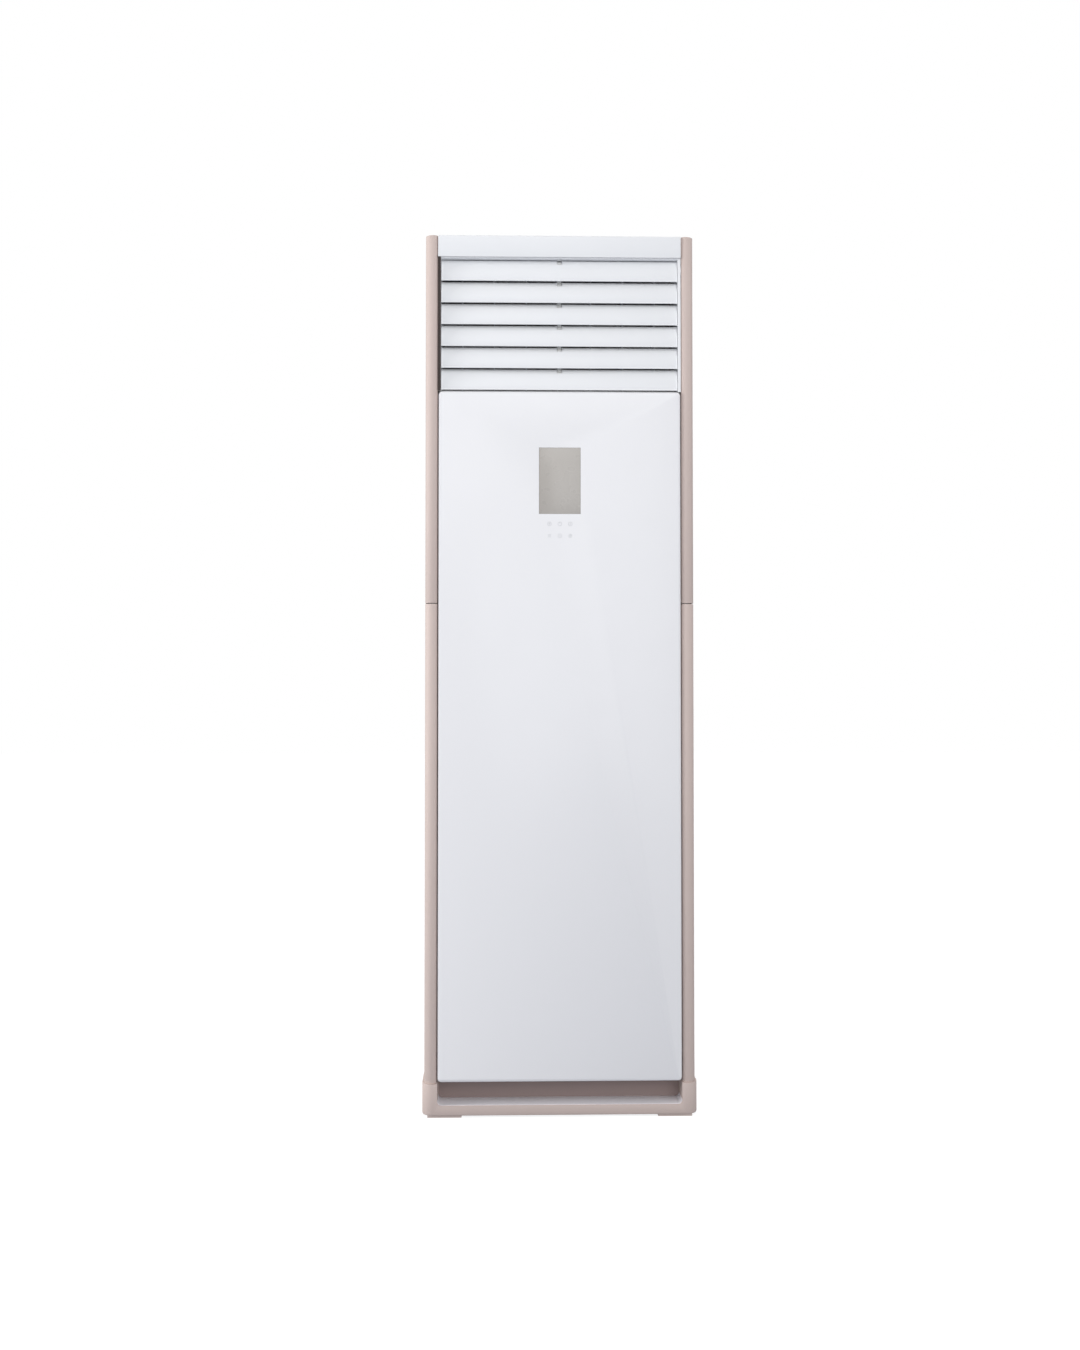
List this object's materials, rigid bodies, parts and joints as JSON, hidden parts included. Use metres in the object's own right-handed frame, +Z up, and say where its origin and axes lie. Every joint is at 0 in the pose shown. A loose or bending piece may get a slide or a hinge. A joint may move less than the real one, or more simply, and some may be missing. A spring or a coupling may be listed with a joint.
{
  "type": "floor standing air conditioner",
  "caption": "Tall indoor cabinet with linked outlet louvres, upright swing vanes, glossy front panel, side inlets with filters, centrifugal fan and slanted coil.",
  "frame": {"origin": "centre of the bounding box's underside, on the floor", "axes": "+Z up, -Y the front with the panel and louvres, +X to the right seen from the front"},
  "size_m": [0.55, 0.41, 1.769],
  "materials": {
    "taupe_plastic": "satin moulded",
    "white_panel": "high gloss",
    "white_plastic": "satin moulded",
    "window": "tinted gloss",
    "galvanised_steel": "spangled",
    "painted_steel": "powder coat",
    "dark_plastic": "matte",
    "aluminium": "rolled",
    "copper": "drawn copper",
    "brass": "turned",
    "steel": "ground",
    "circuit_board": "solder mask",
    "filter_net": "woven net in a moulded frame",
    "hose_plastic": "soft"
  },
  "bodies": {
    "cabinet": {"base_pedestal": "taupe_plastic", "base_plate": "galvanised_steel", "frame_post_left": "galvanised_steel", "frame_post_right": "galvanised_steel", "side_panel_left": "taupe_plastic", "side_panel_right": "taupe_plastic", "rear_panel": "painted_steel", "top_cover": "white_plastic", "front_panel": "white_panel", "display_window": "window", "display_board": "circuit_board", "tilt_bracket": "galvanised_steel", "cable_gland": "dark_plastic", "partition_plate": "galvanised_steel", "outlet_duct": "white_plastic", "louvre_motor": "galvanised_steel", "vane_motor": "galvanised_steel", "scroll_housing": "galvanised_steel", "inlet_ring": "galvanised_steel", "motor_mount": "galvanised_steel", "fan_motor": "dark_plastic", "coil_chamber": "galvanised_steel", "drain_pan": "white_plastic", "drain_hose": "hose_plastic", "gas_pipe": "copper", "liquid_pipe": "copper", "gas_flare_nut": "brass", "liquid_flare_nut": "brass", "coil_fin_block": "aluminium", "coil_end_left": "galvanised_steel", "coil_end_right": "galvanised_steel", "suction_header": "copper", "control_box": "galvanised_steel", "control_box_cover": "galvanised_steel", "main_board": "circuit_board", "terminal_block": "dark_plastic", "capacitor": "aluminium"},
    "louvre_body_1": {"louvre_1": "white_plastic"},
    "louvre_body_2": {"louvre_2": "white_plastic"},
    "louvre_body_3": {"louvre_3": "white_plastic"},
    "louvre_body_4": {"louvre_4": "white_plastic"},
    "louvre_body_5": {"louvre_5": "white_plastic"},
    "louvre_body_6": {"louvre_6": "white_plastic"},
    "louvre_link_body": {"louvre_link": "white_plastic"},
    "vane_body_1": {"vane_1": "dark_plastic"},
    "vane_body_2": {"vane_2": "dark_plastic"},
    "vane_body_3": {"vane_3": "dark_plastic"},
    "vane_body_4": {"vane_4": "dark_plastic"},
    "vane_body_5": {"vane_5": "dark_plastic"},
    "vane_body_6": {"vane_6": "dark_plastic"},
    "vane_body_7": {"vane_7": "dark_plastic"},
    "vane_link_body": {"vane_link": "dark_plastic"},
    "fan": {"fan_wheel": "aluminium", "fan_shaft": "steel", "fan_nut": "steel"},
    "inlet_left": {"inlet_panel_left": "taupe_plastic"},
    "screen_left": {"filter_left": "filter_net"},
    "inlet_right": {"inlet_panel_right": "taupe_plastic"},
    "screen_right": {"filter_right": "filter_net"}
  },
  "joints": [
    {"name": "louvre_turn_1", "type": "hinge", "parent": "cabinet", "child": "louvre_body_1", "pos_m": [0, -0.188, 1.7001], "axis": [-1, 0, 0], "range_deg": [0, 85]},
    {"name": "louvre_turn_2", "type": "hinge", "parent": "cabinet", "child": "louvre_body_2", "pos_m": [0, -0.188, 1.6557], "axis": [-1, 0, 0], "range_deg": [0, 85]},
    {"name": "louvre_turn_3", "type": "hinge", "parent": "cabinet", "child": "louvre_body_3", "pos_m": [0, -0.188, 1.6113], "axis": [-1, 0, 0], "range_deg": [0, 85]},
    {"name": "louvre_turn_4", "type": "hinge", "parent": "cabinet", "child": "louvre_body_4", "pos_m": [0, -0.188, 1.5669], "axis": [-1, 0, 0], "range_deg": [0, 85]},
    {"name": "louvre_turn_5", "type": "hinge", "parent": "cabinet", "child": "louvre_body_5", "pos_m": [0, -0.188, 1.5225], "axis": [-1, 0, 0], "range_deg": [0, 85]},
    {"name": "louvre_turn_6", "type": "hinge", "parent": "cabinet", "child": "louvre_body_6", "pos_m": [0, -0.188, 1.4781], "axis": [-1, 0, 0], "range_deg": [0, 85]},
    {"name": "louvre_link_turn", "type": "hinge", "parent": "louvre_body_1", "child": "louvre_link_body", "pos_m": [0, -0.17632, 1.71664], "axis": [-1, 0, 0], "range_deg": [-85, 0]},
    {"name": "vane_turn_1", "type": "hinge", "parent": "cabinet", "child": "vane_body_1", "pos_m": [-0.198, -0.118, 1.5891], "axis": [0, 0, 1], "range_deg": [-35, 35]},
    {"name": "vane_turn_2", "type": "hinge", "parent": "cabinet", "child": "vane_body_2", "pos_m": [-0.132, -0.118, 1.5891], "axis": [0, 0, 1], "range_deg": [-35, 35]},
    {"name": "vane_turn_3", "type": "hinge", "parent": "cabinet", "child": "vane_body_3", "pos_m": [-0.066, -0.118, 1.5891], "axis": [0, 0, 1], "range_deg": [-35, 35]},
    {"name": "vane_turn_4", "type": "hinge", "parent": "cabinet", "child": "vane_body_4", "pos_m": [0, -0.118, 1.5891], "axis": [0, 0, 1], "range_deg": [-35, 35]},
    {"name": "vane_turn_5", "type": "hinge", "parent": "cabinet", "child": "vane_body_5", "pos_m": [0.066, -0.118, 1.5891], "axis": [0, 0, 1], "range_deg": [-35, 35]},
    {"name": "vane_turn_6", "type": "hinge", "parent": "cabinet", "child": "vane_body_6", "pos_m": [0.132, -0.118, 1.5891], "axis": [0, 0, 1], "range_deg": [-35, 35]},
    {"name": "vane_turn_7", "type": "hinge", "parent": "cabinet", "child": "vane_body_7", "pos_m": [0.198, -0.118, 1.5891], "axis": [0, 0, 1], "range_deg": [-35, 35]},
    {"name": "vane_link_turn", "type": "hinge", "parent": "vane_body_1", "child": "vane_link_body", "pos_m": [-0.198, -0.098, 1.5891], "axis": [0, 0, 1], "range_deg": [-35, 35]},
    {"name": "fan_spin", "type": "hinge", "parent": "cabinet", "child": "fan", "pos_m": [0, 0.029, 0.3914], "axis": [0, 1, 0], "continuous": true},
    {"name": "inlet_pull_left", "type": "slide", "parent": "cabinet", "child": "inlet_left", "axis": [-1, 0, 0], "range_m": [0, 0.06]},
    {"name": "filter_lift_left", "type": "slide", "parent": "inlet_left", "child": "screen_left", "axis": [0, 0, 1], "range_m": [0, 0.025]},
    {"name": "inlet_pull_right", "type": "slide", "parent": "cabinet", "child": "inlet_right", "axis": [1, 0, 0], "range_m": [0, 0.06]},
    {"name": "filter_lift_right", "type": "slide", "parent": "inlet_right", "child": "screen_right", "axis": [0, 0, 1], "range_m": [0, 0.025]}
  ],
  "couplings": [
    {"joint": "louvre_turn_2", "follows": "louvre_turn_1", "ratio": 1},
    {"joint": "louvre_turn_3", "follows": "louvre_turn_1", "ratio": 1},
    {"joint": "louvre_turn_4", "follows": "louvre_turn_1", "ratio": 1},
    {"joint": "louvre_turn_5", "follows": "louvre_turn_1", "ratio": 1},
    {"joint": "louvre_turn_6", "follows": "louvre_turn_1", "ratio": 1},
    {"joint": "louvre_link_turn", "follows": "louvre_turn_1", "ratio": -1},
    {"joint": "vane_turn_2", "follows": "vane_turn_1", "ratio": 1},
    {"joint": "vane_turn_3", "follows": "vane_turn_1", "ratio": 1},
    {"joint": "vane_turn_4", "follows": "vane_turn_1", "ratio": 1},
    {"joint": "vane_turn_5", "follows": "vane_turn_1", "ratio": 1},
    {"joint": "vane_turn_6", "follows": "vane_turn_1", "ratio": 1},
    {"joint": "vane_turn_7", "follows": "vane_turn_1", "ratio": 1},
    {"joint": "vane_link_turn", "follows": "vane_turn_1", "ratio": -1}
  ]
}
